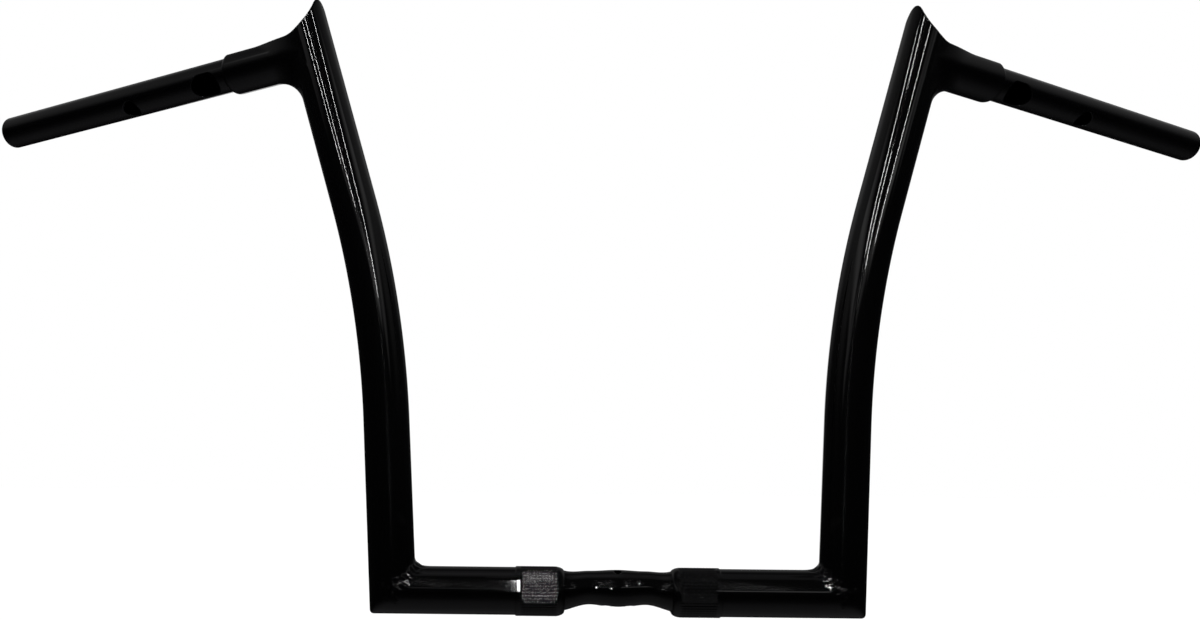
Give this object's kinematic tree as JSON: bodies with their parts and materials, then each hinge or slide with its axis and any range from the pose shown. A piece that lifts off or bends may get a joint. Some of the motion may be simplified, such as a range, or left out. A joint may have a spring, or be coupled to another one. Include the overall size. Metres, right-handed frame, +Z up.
{
  "type": "motorcycle handlebar",
  "caption": "Tall steel tube handlebar with upright risers that end in hollow-cut points and swept-back control tubes, in gloss black powder coat.",
  "frame": {"origin": "middle of the crossbar, on the axis of the two clamp sleeves", "axes": "+X along the crossbar to the right as seen in the picture, +Z up the risers, +Y away from the camera, the way the control tubes sweep back"},
  "size_m": [0.997, 0.1758, 0.4307],
  "materials": {
    "gloss_black": "gloss black powder coat",
    "weld": "gloss black powder coat over weld beads"
  },
  "bodies": {
    "root": {"center_neck": "gloss_black", "clamp_sleeve_left": "gloss_black", "clamp_sleeve_right": "gloss_black", "cross_tube_left": "gloss_black", "cross_tube_right": "gloss_black", "corner_weld_left": "weld", "corner_weld_right": "weld", "riser_left": "gloss_black", "riser_right": "gloss_black", "peak_cap_left": "gloss_black", "peak_cap_right": "gloss_black", "collar_left": "gloss_black", "collar_right": "gloss_black", "arm_weld_left": "weld", "arm_weld_right": "weld", "control_tube_left": "gloss_black", "control_tube_right": "gloss_black"}
  },
  "joints": []
}
